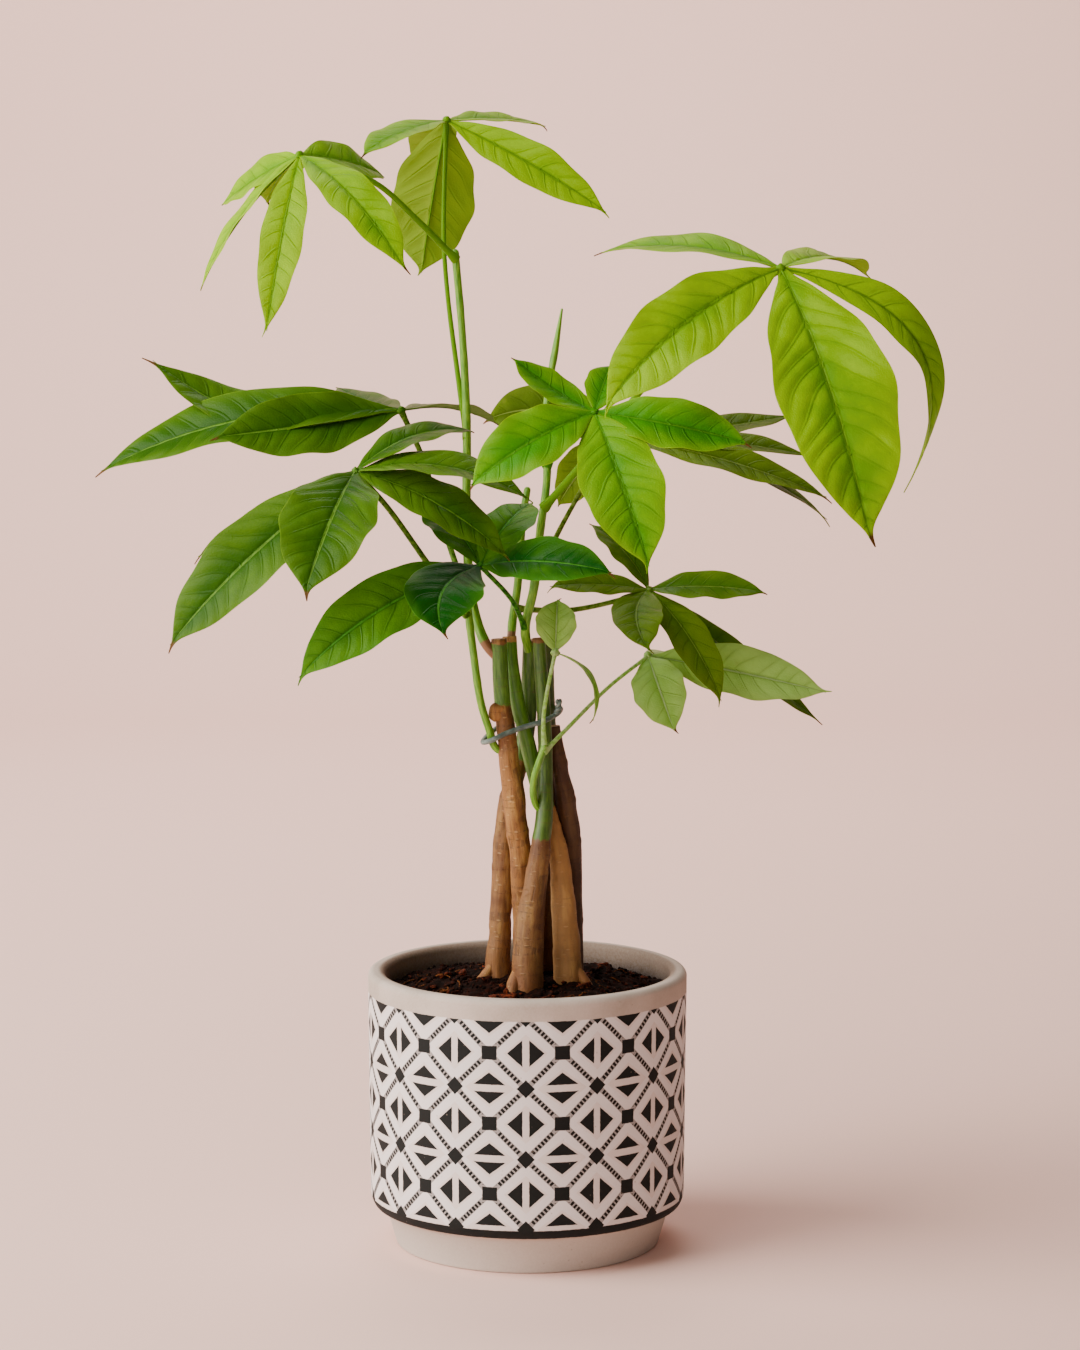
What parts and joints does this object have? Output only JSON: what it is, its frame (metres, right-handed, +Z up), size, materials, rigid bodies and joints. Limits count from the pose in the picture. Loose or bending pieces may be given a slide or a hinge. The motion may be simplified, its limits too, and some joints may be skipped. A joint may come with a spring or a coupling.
{
  "type": "potted money tree",
  "caption": "House plant with a braided trunk, green shoots and hand-shaped compound leaves, in soil in a round patterned cement pot.",
  "frame": {"origin": "middle of the flat underside of the pot's foot, where it rests", "axes": "+Z up along the pot's axis, -Y towards the front of the plant as seen in the picture, +X to its right"},
  "size_m": [0.3893, 0.2209, 0.5298],
  "materials": {
    "cement": "matte grey-beige cement with a printed black and white geometric band",
    "soil": "dark loose potting soil with bark chips",
    "bark": "brown ringed bark that turns green towards the tops",
    "tie": "grey-green plastic coated wire",
    "stem": "smooth green stem, slightly glossy",
    "young_leaf": "bright yellow-green leaf, thin, soft gloss",
    "leaf": "mid green leaf, soft gloss",
    "old_leaf": "dark green leaf, glossy"
  },
  "bodies": {
    "root": {"pot": "cement", "soil": "soil", "cane_left": "bark", "cane_front_left": "bark", "cane_front": "bark", "cane_right": "bark", "cane_back_right": "bark", "cane_back": "bark", "tie": "tie", "shoot_tall": "stem", "shoot_centre": "stem", "shoot_back": "stem", "shoot_left": "stem", "shoot_bud": "stem", "leaf_top_left": "young_leaf", "leaf_top_back": "young_leaf", "leaf_right": "young_leaf", "leaf_centre": "young_leaf", "leaf_far_left": "old_leaf", "leaf_left": "leaf", "leaf_low_left": "old_leaf", "leaf_low_right": "leaf", "leaf_lowest_right": "leaf", "leaf_bud": "leaf", "leaf_back_right": "leaf"}
  },
  "joints": []
}
